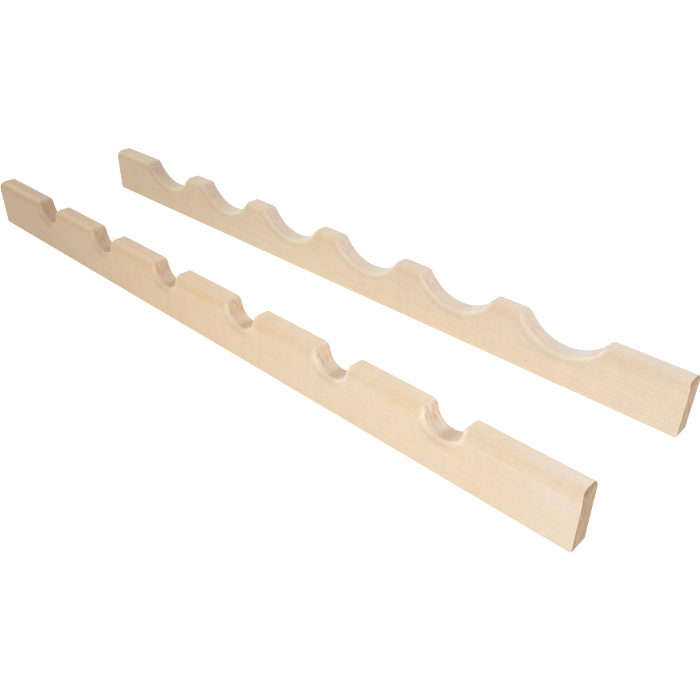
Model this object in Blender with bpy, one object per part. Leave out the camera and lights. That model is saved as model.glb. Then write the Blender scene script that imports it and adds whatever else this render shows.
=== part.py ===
"""A pair of scalloped wooden rails that carry a row of bottles lying on their sides.

The front rail has narrow notches for the bottles' necks and the back rail has wide
scallops for their bodies. Each rail is one solid strip of pale hardwood: a flat back,
a flat base, square ends, and a round-over along the top front edge that follows every
notch. The rails aren't fastened to each other, so the gap between them can be set.

Metres, +Z up. +X runs along the rails and +Y from the front rail to the back one. The
origin is at the middle of the pair, on the surface that both rails stand on.
"""

import math

import bmesh
import bpy

# Driving dimensions, in metres
RAIL_LENGTH = 0.7779
RAIL_HEIGHT = 0.0508
RAIL_THICKNESS = 0.01905
RAIL_SPACING = 0.1625       # from one rail's front face to the other's
PLACES = 6                  # notches in each rail
PITCH = RAIL_LENGTH / (PLACES + 1)  # between notches, and from each end to the nearest one
ROUND_OVER = 0.00794        # radius along the top front edge
END_CORNER = 0.0025         # top corners at both ends, sanded
EASED_EDGE = 0.0007         # every other outside edge, sanded

# The two notch shapes: an arc with rounded shoulders
NECK_NOTCH = {"radius": 0.0159, "depth": 0.0189, "shoulder": 0.0055}
BODY_SCALLOP = {"radius": 0.0452, "depth": 0.0221, "shoulder": 0.0070}

# Facets
NOTCH_STEPS = 18
SHOULDER_STEPS = 5
CORNER_STEPS = 3
EASE_STEPS = 3
ROUND_OVER_STEPS = 7

PAIR_DEPTH = RAIL_SPACING + RAIL_THICKNESS
FRONT_RAIL_Y = -PAIR_DEPTH / 2
BACK_RAIL_Y = FRONT_RAIL_Y + RAIL_SPACING

WOOD_FRONT = (0.80, 0.64, 0.46, 1.0)
WOOD_BACK = (0.78, 0.63, 0.46, 1.0)


def clear_scene():
    for item in list(bpy.data.objects):
        bpy.data.objects.remove(item, do_unlink=True)


def new_collection(name):
    collection = bpy.data.collections.new(name)
    bpy.context.scene.collection.children.link(collection)
    return collection


def wood_material(name, color):
    material = bpy.data.materials.new(name)
    material.use_nodes = True
    shader = material.node_tree.nodes["Principled BSDF"]
    shader.inputs["Base Color"].default_value = color
    shader.inputs["Roughness"].default_value = 0.55
    shader.inputs["Metallic"].default_value = 0.0
    return material


def arc(centre, radius, start, end, steps):
    """Points (x, z) along an arc, from one angle to another."""
    points = []
    for step in range(steps + 1):
        angle = start + (end - start) * step / steps
        points.append((centre[0] + radius * math.cos(angle), centre[1] + radius * math.sin(angle)))
    return points


def notch_outline(middle, notch, inset):
    """One notch from its left shoulder to its right one, with the wood cut back by inset."""
    top = RAIL_HEIGHT - inset
    radius = notch["radius"] + inset
    arc_height = RAIL_HEIGHT - notch["depth"] + notch["radius"]
    shoulder = notch["shoulder"]
    rise = arc_height - (top - shoulder)
    reach = math.sqrt((radius + shoulder) ** 2 - rise ** 2)
    meet = math.atan2(rise, reach)
    left = (middle - reach, top - shoulder)
    right = (middle + reach, top - shoulder)
    outline = arc(left, shoulder, math.pi / 2, meet, SHOULDER_STEPS)
    outline += arc((middle, arc_height), radius, math.pi + meet, 2 * math.pi - meet, NOTCH_STEPS)[1:-1]
    outline += arc(right, shoulder, math.pi - meet, math.pi / 2, SHOULDER_STEPS)
    return outline


def rail_outline(notch, top_inset, side_inset):
    """The rail seen from the front, clockwise from the bottom left, with its origin at mid length."""
    half = RAIL_LENGTH / 2 - side_inset
    top_corner = RAIL_HEIGHT - top_inset - END_CORNER
    base_corner = side_inset + EASED_EDGE
    outline = arc((-half + EASED_EDGE, base_corner), EASED_EDGE, 1.5 * math.pi, math.pi, CORNER_STEPS)
    outline += arc((-half + END_CORNER, top_corner), END_CORNER, math.pi, 0.5 * math.pi, CORNER_STEPS)
    for place in range(1, PLACES + 1):
        outline += notch_outline(-RAIL_LENGTH / 2 + place * PITCH, notch, top_inset)
    outline += arc((half - END_CORNER, top_corner), END_CORNER, 0.5 * math.pi, 0.0, CORNER_STEPS)
    outline += arc((half - EASED_EDGE, base_corner), EASED_EDGE, 0.0, -0.5 * math.pi, CORNER_STEPS)
    return outline


def cut_back(radius, depth):
    """How far a quarter-round edge of this radius is cut back at a depth behind its face."""
    if depth >= radius:
        return 0.0
    return radius - math.sqrt(radius ** 2 - (radius - depth) ** 2)


def quarter_depths(radius, steps):
    """Even steps round a quarter-round edge, as depths behind its face."""
    return [radius * (1 - math.cos(math.pi / 2 * step / steps)) for step in range(steps + 1)]


def rail_sections(notch):
    """Each section is a depth and an outline, from the front face to the back one."""
    sections = []
    ease_depths = quarter_depths(EASED_EDGE, EASE_STEPS)
    round_over_depths = quarter_depths(ROUND_OVER, ROUND_OVER_STEPS)
    for depth in sorted(ease_depths + round_over_depths[1:]):
        outline = rail_outline(notch, cut_back(ROUND_OVER, depth), cut_back(EASED_EDGE, depth))
        sections.append((depth, outline))
    for depth in reversed(ease_depths):
        inset = cut_back(EASED_EDGE, depth)
        sections.append((RAIL_THICKNESS - depth, rail_outline(notch, inset, inset)))
    return sections


def rail_mesh(name, notch):
    """Loft the sections into one closed body, because their outlines differ."""
    build = bmesh.new()
    loops = []
    for depth, outline in rail_sections(notch):
        loops.append([build.verts.new((x, depth, z)) for x, z in outline])
    count = len(loops[0])
    for near, far in zip(loops, loops[1:]):
        for i in range(count):
            j = (i + 1) % count
            build.faces.new((near[i], far[i], far[j], near[j]))
    build.faces.new(loops[0])
    build.faces.new(list(reversed(loops[-1])))
    bmesh.ops.recalc_face_normals(build, faces=build.faces)
    mesh = bpy.data.meshes.new(name)
    build.to_mesh(mesh)
    build.free()
    mesh.shade_smooth()
    mesh.set_sharp_from_angle(angle=math.radians(35))
    return mesh


def make_rail(name, notch, material, parent, collection):
    rail = bpy.data.objects.new(name, rail_mesh(name, notch))
    rail.data.materials.append(material)
    rail.parent = parent
    collection.objects.link(rail)
    return rail


def make_axis(name, y, collection):
    """An empty at a rail's front face, on the line that the back rail slides along."""
    axis = bpy.data.objects.new(name, None)
    axis.empty_display_size = 0.03
    axis.location = (0.0, y, 0.0)
    collection.objects.link(axis)
    return axis


def build():
    clear_scene()
    parts = new_collection("bottle_rack_rail_pair")
    front_axis = make_axis("front_rail_place", FRONT_RAIL_Y, parts)
    back_axis = make_axis("back_rail_place", BACK_RAIL_Y, parts)
    make_rail("notched_neck_rail", NECK_NOTCH, wood_material("front_rail_wood", WOOD_FRONT),
              front_axis, parts)
    make_rail("scalloped_body_rail", BODY_SCALLOP, wood_material("back_rail_wood", WOOD_BACK),
              back_axis, parts)


build()
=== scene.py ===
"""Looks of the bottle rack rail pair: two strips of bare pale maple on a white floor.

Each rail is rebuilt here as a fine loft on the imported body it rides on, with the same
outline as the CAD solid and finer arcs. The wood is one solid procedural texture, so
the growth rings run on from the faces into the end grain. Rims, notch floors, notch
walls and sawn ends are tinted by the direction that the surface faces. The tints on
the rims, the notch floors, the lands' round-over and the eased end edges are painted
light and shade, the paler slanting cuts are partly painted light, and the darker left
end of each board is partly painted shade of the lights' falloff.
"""

import math

import bmesh
import bpy
from mathutils import Euler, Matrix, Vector


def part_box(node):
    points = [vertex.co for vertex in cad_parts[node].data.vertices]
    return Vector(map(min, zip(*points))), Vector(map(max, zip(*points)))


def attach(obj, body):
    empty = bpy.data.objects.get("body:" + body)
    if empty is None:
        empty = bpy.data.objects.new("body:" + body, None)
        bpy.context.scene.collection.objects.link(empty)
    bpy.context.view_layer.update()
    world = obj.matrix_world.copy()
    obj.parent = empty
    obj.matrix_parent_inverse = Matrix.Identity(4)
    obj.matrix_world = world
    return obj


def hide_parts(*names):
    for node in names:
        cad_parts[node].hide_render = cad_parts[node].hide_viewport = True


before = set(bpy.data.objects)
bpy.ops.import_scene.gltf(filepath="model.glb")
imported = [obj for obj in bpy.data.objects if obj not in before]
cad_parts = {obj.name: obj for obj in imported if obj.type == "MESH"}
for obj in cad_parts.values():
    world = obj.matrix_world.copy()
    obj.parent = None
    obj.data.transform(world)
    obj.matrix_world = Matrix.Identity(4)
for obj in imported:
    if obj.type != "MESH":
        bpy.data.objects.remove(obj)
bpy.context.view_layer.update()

# The rails' design, in metres; length, height and thickness come from the frame
PLACES = 6
ROUND_OVER = 0.00794
END_CORNER = 0.0025
EASED_EDGE = 0.0007
NECK_NOTCH = {"radius": 0.0159, "depth": 0.0189, "shoulder": 0.0055}
BODY_SCALLOP = {"radius": 0.0452, "depth": 0.0221, "shoulder": 0.0070}

# Facets of the fine loft
NOTCH_STEPS = 48
SHOULDER_STEPS = 12
CORNER_STEPS = 6
EASE_STEPS = 5
ROUND_OVER_STEPS = 16

# Camera
CAMERA_PLACE = (0.51813, -0.44306, 0.38186)
CAMERA_TURN = (57.0445, -0.3783, 43.1830)
CAMERA_LENS = 39.153
SENSOR_WIDTH = 36.0

# Stage, in metres
FLOOR_REACH = 6.0
FLOOR_DROP = 0.0002         # below the rails' bases, so that the surfaces don't coincide
LIGHTS_AIM = (0.1, 0.0, 0.03)

# How often each layer of the wood repeats in a metre, along X, Y and Z
FIBRE_SCALE = (16.0, 700.0, 700.0)
PORE_SCALE = (75.0, 2400.0, 2400.0)
PATCH_SCALE = (22.0, 60.0, 60.0)
CURL_SCALE = (110.0, 18.0, 18.0)
STREAK_SCALE = (5.0, 150.0, 150.0)
FLECK_SCALE = (240.0, 620.0, 620.0)
STAIN_SCALE = (17.0, 25.0, 25.0)
SAW_SCALE = (60.0, 800.0, 110.0)

# Tones along the board, as places on X in metres; the darker left end is partly painted shade of the
# lights' falloff
LEFT_TONE_AT = -0.44
RIGHT_TONE_AT = 0.38
WARM_MIDDLE = -0.04
WARM_REACH = (0.26, 0.02)

# How far fibres, curl, flecks and pores lighten or darken the wood
FIBRE_SHADE = (0.970, 1.030)
CURL_SHADE = (-0.014, 0.014)
FLECK_SHADE = (-0.022, 0.022)
PORE_SHADE = 0.045

# Sheen and relief, and how much of the rounded top edge counts as sawn
FIBRE_ROUGHNESS = (0.44, 0.56)
SAWN_ROUGHNESS = 0.25
SAWN_RELIEF = 2.0
SAWN_TOP_SHARE = 0.62
SPECULAR = 0.35
BUMP_STRENGTH = 0.4
BUMP_DISTANCE = 0.00005

# Where each tint lies, as pairs (none, full). STAIN_FOLD is a distance from the stain's
# height, BELOW_LAND and NOTCH_FLOOR_HEIGHT are heights above the board's middle, and
# NEAR_END is a distance from its end, all in metres. The rest are components of the
# direction that the surface faces, and SAWN_CUT also counts a share of its facing up.
FLAT_FACE = (0.90, 0.98)
STAIN_FOLD = (0.0032, 0.0006)
STAIN_FADE = (0.35, 0.10)
# Paler slanting cuts, partly painted light
SLANT = ((0.15, 0.50), (0.92, 0.74))
BELOW_LAND = (0.0160, 0.0120)
NOTCH_SIDE = (0.10, 0.30)
# A painted highlight on the rims of the notches
RIM = ((-0.32, -0.52), (-0.90, -0.66))
# Painted light on the lands' round-over
LAND_ROUND_OVER = ((-0.25, -0.50), (-0.985, -0.88))
# Painted shade and light on the notch floors
NOTCH_FLOOR_ALONG = (0.36, 0.05)
NOTCH_FLOOR_FRONT = (-0.52, -0.32)
NOTCH_FLOOR_BACK = (0.6, 0.2)
NOTCH_FLOOR_UP = (-0.2, 0.2)
NOTCH_FLOOR_HEIGHT = (0.0150, 0.0100)
WALL_CUT = (0.38, 0.66)
WALL_FRONT = (-0.72, -0.48)
NEAR_END = (0.00545, 0.00295)
SAWN_CUT = (0.74, 0.80)
# A painted highlight on the eased end edges
CORNER_CUT = (0.05, 0.30)


def arc(centre, radius, start, end, steps):
    """Points (x, z) along an arc, from one angle to another."""
    points = []
    for step in range(steps + 1):
        angle = start + (end - start) * step / steps
        points.append((centre[0] + radius * math.cos(angle), centre[1] + radius * math.sin(angle)))
    return points


def notch_outline(middle, height, notch, inset):
    """One notch from its left shoulder to its right one, with the wood cut back by inset."""
    top = height - inset
    radius = notch["radius"] + inset
    arc_height = height - notch["depth"] + notch["radius"]
    shoulder = notch["shoulder"]
    rise = arc_height - (top - shoulder)
    reach = math.sqrt((radius + shoulder) ** 2 - rise ** 2)
    meet = math.atan2(rise, reach)
    outline = arc((middle - reach, top - shoulder), shoulder, math.pi / 2, meet, SHOULDER_STEPS)
    outline += arc((middle, arc_height), radius, math.pi + meet, 2 * math.pi - meet, NOTCH_STEPS)[1:-1]
    outline += arc((middle + reach, top - shoulder), shoulder, math.pi - meet, math.pi / 2, SHOULDER_STEPS)
    return outline


def rail_outline(size, notch, top_inset, side_inset):
    """The rail seen from the front, clockwise from the bottom left."""
    half = size.x / 2 - side_inset
    pitch = size.x / (PLACES + 1)
    top = size.z - top_inset - END_CORNER
    base = side_inset + EASED_EDGE
    outline = arc((-half + EASED_EDGE, base), EASED_EDGE, 1.5 * math.pi, math.pi, CORNER_STEPS)
    outline += arc((-half + END_CORNER, top), END_CORNER, math.pi, 0.5 * math.pi, CORNER_STEPS)
    for place in range(1, PLACES + 1):
        outline += notch_outline(-size.x / 2 + place * pitch, size.z, notch, top_inset)
    outline += arc((half - END_CORNER, top), END_CORNER, 0.5 * math.pi, 0.0, CORNER_STEPS)
    outline += arc((half - EASED_EDGE, base), EASED_EDGE, 0.0, -0.5 * math.pi, CORNER_STEPS)
    return outline


def cut_back(radius, depth):
    """How far a quarter-round edge of this radius is cut back at a depth behind its face."""
    if depth >= radius:
        return 0.0
    return radius - math.sqrt(radius ** 2 - (radius - depth) ** 2)


def quarter_depths(radius, steps):
    """Even steps round a quarter-round edge, as depths behind its face."""
    return [radius * (1 - math.cos(math.pi / 2 * step / steps)) for step in range(steps + 1)]


def rail_sections(size, notch):
    """Each section is a depth and an outline, from the front face to the back one."""
    sections = []
    ease_depths = quarter_depths(EASED_EDGE, EASE_STEPS)
    round_over_depths = quarter_depths(ROUND_OVER, ROUND_OVER_STEPS)
    for depth in sorted(ease_depths + round_over_depths[1:]):
        outline = rail_outline(size, notch, cut_back(ROUND_OVER, depth), cut_back(EASED_EDGE, depth))
        sections.append((depth, outline))
    for depth in reversed(ease_depths):
        inset = cut_back(EASED_EDGE, depth)
        sections.append((size.y - depth, rail_outline(size, notch, inset, inset)))
    return sections


def rail_mesh(name, node, notch):
    """The sections lofted into one closed body that fills the CAD node's box."""
    low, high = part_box(node)
    middle = (low.x + high.x) / 2
    build = bmesh.new()
    loops = []
    for depth, outline in rail_sections(high - low, notch):
        loops.append([build.verts.new((middle + x, low.y + depth, low.z + z)) for x, z in outline])
    count = len(loops[0])
    for near, far in zip(loops, loops[1:]):
        for i in range(count):
            j = (i + 1) % count
            build.faces.new((near[i], far[i], far[j], near[j]))
    build.faces.new(loops[0])
    build.faces.new(list(reversed(loops[-1])))
    bmesh.ops.recalc_face_normals(build, faces=build.faces)
    mesh = bpy.data.meshes.new(name)
    build.to_mesh(mesh)
    build.free()
    return mesh


def make_rail(name, node, body, notch, material):
    mesh = rail_mesh(name, node, notch)
    rail = bpy.data.objects.new(name, mesh)
    bpy.context.scene.collection.objects.link(rail)
    mesh.materials.append(material)
    mesh.shade_smooth()
    weighted = rail.modifiers.new("Flat faces stay flat", "WEIGHTED_NORMAL")
    weighted.weight = 100
    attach(rail, body)
    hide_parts(node)


class Shading:
    """Small helpers that add shader nodes and hand back their output sockets."""

    def __init__(self, name):
        self.material = bpy.data.materials.new(name)
        self.material.use_nodes = True
        self.tree = self.material.node_tree
        self.shader = self.tree.nodes["Principled BSDF"]

    def put(self, socket, value):
        if isinstance(value, bpy.types.NodeSocket):
            self.tree.links.new(value, socket)
        else:
            socket.default_value = value

    def add(self, kind, inputs, output, **settings):
        node = self.tree.nodes.new(kind)
        for key, value in settings.items():
            setattr(node, key, value)
        for key, value in inputs.items():
            self.put(node.inputs[key], value)
        return node.outputs[output]

    def math(self, operation, *values):
        return self.add("ShaderNodeMath", dict(enumerate(values)), 0, operation=operation)

    def product(self, first, *others):
        result = first
        for other in others:
            result = self.math("MULTIPLY", result, other)
        return result

    def distance(self, value, place):
        return self.math("ABSOLUTE", self.math("SUBTRACT", value, place))

    def fit(self, value, span, result=(0.0, 1.0)):
        """A smooth step from one pair of values to another, held at both ends."""
        inputs = {"Value": value, "From Min": span[0], "From Max": span[1],
                  "To Min": result[0], "To Max": result[1]}
        return self.add("ShaderNodeMapRange", inputs, 0, interpolation_type="SMOOTHSTEP")

    def vector(self, operation, first, second, output=0):
        return self.add("ShaderNodeVectorMath", {0: first, 1: second}, output, operation=operation)

    def scale(self, vector, factors, shift=(0.0, 0.0, 0.0)):
        inputs = {"Vector": vector, "Scale": factors, "Location": shift}
        return self.add("ShaderNodeMapping", inputs, 0)

    def split(self, vector):
        return self.add("ShaderNodeSeparateXYZ", {"Vector": vector}, 0).node.outputs

    def noise(self, vector, detail=2.0, roughness=0.5):
        inputs = {"Vector": vector, "Scale": 1.0, "Detail": detail, "Roughness": roughness}
        return self.add("ShaderNodeTexNoise", inputs, 0)

    def mix(self, factor, first, second, blend="MIX"):
        inputs = {0: factor, 6: first, 7: second}
        return self.add("ShaderNodeMix", inputs, 2, data_type="RGBA", blend_type=blend)

    def tint(self, factor, colour, by):
        return self.mix(factor, colour, by, "MULTIPLY")


class Board(Shading):
    """The shading of one board, with the places and directions its layers are made from."""

    def __init__(self, name, node, seed):
        super().__init__(name)
        low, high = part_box(node)
        place = self.add("ShaderNodeTexCoord", {}, "Object")
        local = self.vector("SUBTRACT", place, (low + high) / 2)
        facing = self.add("ShaderNodeTexCoord", {}, "Normal")
        self.x, self.y, self.z = self.split(local)
        self.facing_x, self.facing_y, self.facing_z = self.split(facing)
        self.seed = seed
        self.seeded = self.vector("ADD", local, (seed, seed * 0.37, seed * 0.61))
        self.half_length = (high.x - low.x) / 2
        self.cut = self.math("ABSOLUTE", self.facing_x)  # 0 along the fibres, 1 square across them


def tone_and_painted_falloff(s, look):
    """Slow drift in tone from one end of the board to the other, partly the wood's own and partly painted
    shade where the lights fall off towards the left end.
    """
    tone = s.mix(s.fit(s.x, (LEFT_TONE_AT, look["middle_at"])), look["left"], look["middle"])
    tone = s.mix(s.fit(s.x, (look["middle_at"], RIGHT_TONE_AT)), tone, look["right"])
    return s.tint(s.fit(s.distance(s.x, WARM_MIDDLE), WARM_REACH), tone, look["warm"])


def growth_rings(s, look):
    """Soft bands and thin lines on cylinders round a pith line, bent by slow noise."""
    pith_y, pith_z = look["pith"]
    wander = s.noise(s.scale(s.seeded, look["wander_scale"]))
    from_pith = s.add("ShaderNodeCombineXYZ", {"Y": s.math("SUBTRACT", s.y, pith_y),
                                               "Z": s.math("SUBTRACT", s.z, pith_z)}, 0)
    radius = s.add("ShaderNodeVectorMath", {0: from_pith}, "Value", operation="LENGTH")
    turns = s.math("MULTIPLY_ADD", wander, look["wander"], s.math("DIVIDE", radius, look["ring"]))
    place = s.add("ShaderNodeCombineXYZ", {"X": s.math("MULTIPLY", s.x, 2.0), "Y": turns, "Z": s.seed}, 0)
    band = s.noise(s.scale(place, (1.0, 0.9, 1.0)))
    line = s.fit(s.math("PINGPONG", turns, 0.5), (0.34, 0.5))
    fade = s.noise(s.scale(place, (3.0, 0.5, 1.0), (4.0, 7.0, 1.0)))
    return band, s.product(line, s.fit(fade, (0.36, 0.64)))


def stain(s, look):
    """Where the front edge is stained: in patches, along the line where it meets the face."""
    spots = 0.0
    for spot_x, reach in look["stain_spots"]:
        spots = s.math("MAXIMUM", spots, s.fit(s.distance(s.x, spot_x), (reach, reach * 0.4)))
    fold = s.fit(s.distance(s.z, look["stain_at"]), STAIN_FOLD)
    patchy = s.noise(s.scale(s.seeded, STAIN_SCALE, (9.0, 4.0, 0.0)), 3.0, 0.6)
    return s.product(fold, s.fit(patchy, (0.38, 0.54)), spots, s.fit(s.cut, STAIN_FADE))


def grain_tint(s, look, band, line, fibre, pore):
    """Patches, rings, streaks, stains and fibres, as a tint on the board's tone."""
    patch = s.noise(s.scale(s.seeded, PATCH_SCALE), 3.0, 0.55)
    curl = s.noise(s.scale(s.seeded, CURL_SCALE))
    streak = s.noise(s.scale(s.seeded, STREAK_SCALE, (3.0, 1.0, 2.0)))
    fleck = s.noise(s.scale(s.seeded, FLECK_SCALE, (2.0, 5.0, 1.0)), 2.0, 0.6)

    tint = s.mix(s.fit(patch, (0.34, 0.66)), look["patch_warm"], look["patch_cool"])
    tint = s.tint(s.fit(band, (0.30, 0.70)), tint, look["band"])
    tint = s.mix(s.fit(streak, (0.60, 0.78), (0.0, look["streak_amount"])), tint, look["streak"])
    on_flat_face = s.fit(s.math("ABSOLUTE", s.facing_y), FLAT_FACE)
    tint = s.mix(s.product(line, on_flat_face, look["line_amount"]), tint, look["line"])
    tint = s.mix(s.product(stain(s, look), look["stain_amount"]), tint, look["stain"])

    shade = s.math("ADD", s.fit(fibre, (0.25, 0.75), FIBRE_SHADE), s.fit(curl, (0.3, 0.7), CURL_SHADE))
    shade = s.math("ADD", shade, s.fit(fleck, (0.3, 0.7), FLECK_SHADE))
    shade = s.math("SUBTRACT", shade, s.product(pore, PORE_SHADE))
    grey = s.add("ShaderNodeCombineXYZ", {0: shade, 1: shade, 2: shade}, 0)
    return s.tint(1.0, tint, grey)


def curved_tints(s, look, colour):
    """Slanting cuts, paler partly of themselves and partly by painted light; painted highlights on the
    round-over on the lands and on the rims of the notches; painted shade on the front rail's notch floors
    and painted pale light on the back rail's.
    """
    pale_cut_and_painted_light = s.product(s.fit(s.cut, SLANT[0]), s.fit(s.cut, SLANT[1]))
    in_notch = s.math("MAXIMUM", s.fit(s.z, BELOW_LAND), s.fit(s.cut, NOTCH_SIDE))
    on_land = s.math("SUBTRACT", 1.0, in_notch)
    painted_round_over_light = s.product(s.fit(s.facing_y, LAND_ROUND_OVER[0]), s.fit(s.facing_y, LAND_ROUND_OVER[1]),
                           on_land)
    painted_rim_highlight = s.product(in_notch, s.fit(s.facing_y, RIM[0]), s.fit(s.facing_y, RIM[1]))
    painted_notch_floor_light = s.product(s.fit(s.facing_x, NOTCH_FLOOR_ALONG), s.fit(s.facing_y, NOTCH_FLOOR_FRONT),
                            s.fit(s.z, NOTCH_FLOOR_HEIGHT), s.fit(s.facing_y, NOTCH_FLOOR_BACK),
                            s.fit(s.facing_z, NOTCH_FLOOR_UP))
    colour = s.tint(pale_cut_and_painted_light, colour, look["pale_cut_and_painted_light"])
    colour = s.tint(painted_round_over_light, colour, look["painted_round_over_light"])
    colour = s.tint(painted_rim_highlight, colour, look["painted_rim_highlight"])
    return s.tint(painted_notch_floor_light, colour, look["floor"])


def end_masks(s):
    """Where the board is sawn off, up over its rounded top edge, and the eased corners beside that, which
    get a painted highlight.
    """
    near_end = s.fit(s.math("ABSOLUTE", s.x), [s.half_length - distance for distance in NEAR_END])
    squareness = s.math("MULTIPLY_ADD", s.facing_z, SAWN_TOP_SHARE, s.cut)
    sawn = s.product(near_end, s.fit(squareness, SAWN_CUT))
    painted_edge_highlight = s.product(near_end, s.fit(s.cut, CORNER_CUT))
    return sawn, painted_edge_highlight


def maple(name, node, look):
    """Bare maple as a solid texture round the middle of a CAD node, grain along X."""
    s = Board(name, node, look["seed"])
    band, line = growth_rings(s, look)
    fibre = s.noise(s.scale(s.seeded, FIBRE_SCALE), 4.0, 0.62)
    pore = s.fit(s.noise(s.scale(s.seeded, PORE_SCALE)), (0.60, 0.74))
    saw_mark = s.noise(s.scale(s.seeded, SAW_SCALE, (5.0, 2.0, 8.0)), 4.0, 0.6)
    sawn, painted_edge_highlight = end_masks(s)

    colour = s.tint(1.0, tone_and_painted_falloff(s, look), grain_tint(s, look, band, line, fibre, pore))
    colour = curved_tints(s, look, colour)

    wall_tint = s.mix(s.fit(saw_mark, (0.35, 0.65)), look["wall_dark"], look["wall_light"])
    wall = s.product(s.fit(s.cut, WALL_CUT), s.fit(s.z, look["wall_fade"]), s.fit(s.facing_y, WALL_FRONT))
    colour = s.tint(wall, colour, wall_tint)

    # A painted highlight along the eased end edges
    colour = s.tint(painted_edge_highlight, colour, look["painted_edge_highlight"])
    end_colour = s.mix(s.fit(saw_mark, (0.32, 0.68)), look["end_dark"], look["end_light"])
    end_colour = s.mix(s.product(line, 0.5), end_colour, look["end_line"])
    s.put(s.shader.inputs["Base Color"], s.mix(sawn, colour, end_colour))

    roughness = s.math("ADD", s.fit(fibre, (0.25, 0.75), FIBRE_ROUGHNESS), s.product(sawn, SAWN_ROUGHNESS))
    s.put(s.shader.inputs["Roughness"], roughness)
    s.put(s.shader.inputs["Specular IOR Level"], SPECULAR)
    relief = s.math("MULTIPLY_ADD", saw_mark, s.product(sawn, SAWN_RELIEF), fibre)
    relief = s.math("SUBTRACT", relief, pore)
    bump = {"Strength": BUMP_STRENGTH, "Distance": BUMP_DISTANCE, "Height": relief}
    s.put(s.shader.inputs["Normal"], s.add("ShaderNodeBump", bump, 0))
    return s.material


def make_floor():
    mesh = bpy.data.meshes.new("floor")
    build = bmesh.new()
    bmesh.ops.create_grid(build, x_segments=1, y_segments=1, size=FLOOR_REACH)
    build.to_mesh(mesh)
    build.free()
    floor = bpy.data.objects.new("floor", mesh)
    floor.location.z = -FLOOR_DROP
    s = Shading("floor_white")
    s.put(s.shader.inputs["Base Color"], (0.30, 0.30, 0.30, 1.0))
    s.put(s.shader.inputs["Roughness"], 0.9)
    s.put(s.shader.inputs["Emission Color"], (1.0, 1.0, 1.0, 1.0))
    s.put(s.shader.inputs["Emission Strength"], 0.93)
    mesh.materials.append(s.material)
    bpy.context.scene.collection.objects.link(floor)


def make_light(name, place, size, power, color, aim=LIGHTS_AIM):
    data = bpy.data.lights.new(name, "AREA")
    data.shape = "DISK"
    data.size = size
    data.energy = power
    data.color = color
    light = bpy.data.objects.new(name, data)
    light.location = place
    light.rotation_euler = (Vector(aim) - Vector(place)).to_track_quat("-Z", "Y").to_euler()
    bpy.context.scene.collection.objects.link(light)


def make_world(color, strength):
    world = bpy.data.worlds.new("studio")
    bpy.context.scene.world = world
    world.use_nodes = True
    background = world.node_tree.nodes["Background"]
    background.inputs["Color"].default_value = color
    background.inputs["Strength"].default_value = strength


def make_camera():
    data = bpy.data.cameras.new("camera")
    data.lens = CAMERA_LENS
    data.sensor_width = SENSOR_WIDTH
    camera = bpy.data.objects.new("camera", data)
    camera.location = CAMERA_PLACE
    camera.rotation_euler = Euler([math.radians(turn) for turn in CAMERA_TURN], "XYZ")
    bpy.context.scene.collection.objects.link(camera)
    bpy.context.scene.camera = camera


# Linear colours. left, middle and right are the board's tones, and the darker left one is
# partly painted shade of the lights' falloff; the end_ colours are its sawn ends'. All
# others are tints that multiply a tone, so 1 leaves it as it is. Of these, the tints on
# slanting cuts are partly painted light, those on the lands' round-over, the notch rims
# and the eased end edges are painted highlights, and the notch-floor tint is painted
# shade on the front rail and painted pale light on the back one.
FRONT_LOOK = {
    "seed": 1.7, "middle_at": 0.30,
    "pith": (0.090, -0.010), "ring": 0.0030, "wander": 2.6, "wander_scale": (3.0, 12.0, 12.0),
    # The darker left tone is partly painted shade of the lights' falloff
    "left": (0.498, 0.337, 0.195, 1.0),
    "middle": (0.890, 0.711, 0.511, 1.0),
    "right": (0.899, 0.741, 0.576, 1.0),
    "warm": (1.055, 1.028, 0.975, 1.0),
    "patch_warm": (1.015, 0.988, 0.955, 1.0), "patch_cool": (1.0, 1.005, 1.02, 1.0),
    "band": (0.992, 0.984, 0.970, 1.0),
    "streak": (1.03, 1.04, 1.06, 1.0), "streak_amount": 0.5,
    "line": (0.93, 0.88, 0.82, 1.0), "line_amount": 0.20,
    "stain": (1.04, 0.92, 0.70, 1.0), "stain_amount": 0.9, "stain_at": 0.0180,
    "stain_spots": ((-0.010, 0.036), (0.086, 0.018), (-0.083, 0.014), (0.245, 0.020)),
    # Paler slanting cuts, partly painted light
    "pale_cut_and_painted_light": (1.04, 1.08, 1.16, 1.0),
    # Painted light on the lands' round-over
    "painted_round_over_light": (1.045, 1.015, 0.970, 1.0),
    # A painted highlight on the rims of the notches
    "painted_rim_highlight": (1.08, 1.10, 1.14, 1.0),
    # Painted shade on the notch floors
    "floor": (0.86, 0.83, 0.80, 1.0),
    "wall_fade": (0.0070, 0.0145),
    "wall_dark": (0.78, 0.70, 0.67, 1.0), "wall_light": (1.00, 0.99, 1.03, 1.0),
    # A painted highlight on the eased end edges
    "painted_edge_highlight": (1.08, 1.06, 1.02, 1.0),
    "end_dark": (0.36, 0.21, 0.115, 1.0), "end_light": (0.56, 0.38, 0.235, 1.0),
    "end_line": (0.32, 0.175, 0.09, 1.0),
}
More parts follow.
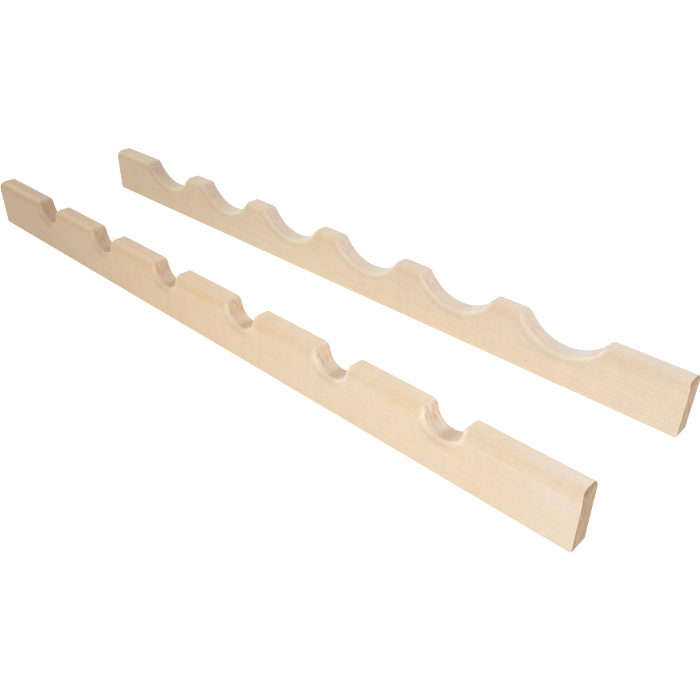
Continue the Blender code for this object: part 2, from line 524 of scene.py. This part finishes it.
BACK_LOOK = FRONT_LOOK | {
    "seed": 4.3, "middle_at": 0.053,
    "pith": (0.045, -0.120), "ring": 0.0034, "wander": 2.8, "wander_scale": (3.5, 10.0, 10.0),
    # The darker left tone is partly painted shade of the lights' falloff
    "left": (0.560, 0.417, 0.265, 1.0),
    "middle": (0.804, 0.646, 0.463, 1.0),
    "right": (0.846, 0.700, 0.534, 1.0),
    "warm": (0.985, 0.995, 1.0, 1.0),
    "streak_amount": 0.4,
    "line": (0.91, 0.855, 0.79, 1.0), "line_amount": 0.95,
    "stain_amount": 0.0,
    # Paler slanting cuts, partly painted light, and a painted highlight on the notch rims
    "pale_cut_and_painted_light": (1.02, 1.03, 1.09, 1.0),
    "painted_rim_highlight": (1.08, 1.11, 1.14, 1.0),
    # Painted pale light on the notch floors
    "floor": (1.02, 1.04, 1.09, 1.0),
    "wall_fade": (-0.0040, 0.0080),
    "wall_dark": (0.86, 0.83, 0.86, 1.0), "wall_light": (1.00, 0.98, 1.03, 1.0),
    "end_dark": (0.375, 0.228, 0.130, 1.0), "end_light": (0.575, 0.405, 0.260, 1.0),
    "end_line": (0.335, 0.195, 0.105, 1.0),
}

make_camera()
front_wood = maple("front_maple", "notched_neck_rail", FRONT_LOOK)
back_wood = maple("back_maple", "scalloped_body_rail", BACK_LOOK)
make_rail("neck_rail", "notched_neck_rail", "front_rail", NECK_NOTCH, front_wood)
make_rail("body_rail", "scalloped_body_rail", "back_rail", BODY_SCALLOP, back_wood)
make_floor()
make_world((0.76, 0.90, 1.0, 1.0), 0.69)
make_light("overhead", (0.1, 0.15, 1.3), 2.0, 5.6, (1.0, 0.63, 0.37))
make_light("right", (2.2, 0.3, 0.9), 1.2, 10.8, (0.95, 0.95, 0.92))
make_light("left", (-1.15, -0.15, 0.66), 0.8, 5.0, (0.92, 1.0, 0.96))
make_light("front right", (0.6, -1.2, 0.7), 1.0, 1.3, (1.0, 0.40, 0.16))
make_light("back left", (-0.80, 0.5, 0.45), 0.4, 0.65, (0.35, 0.62, 1.0), aim=(-0.2, 0.0, 0.03))
make_light("back", (-0.1, 0.9, 0.6), 0.6, 1.7, (0.12, 0.40, 1.0))
bpy.context.scene.view_settings.view_transform = "Standard"
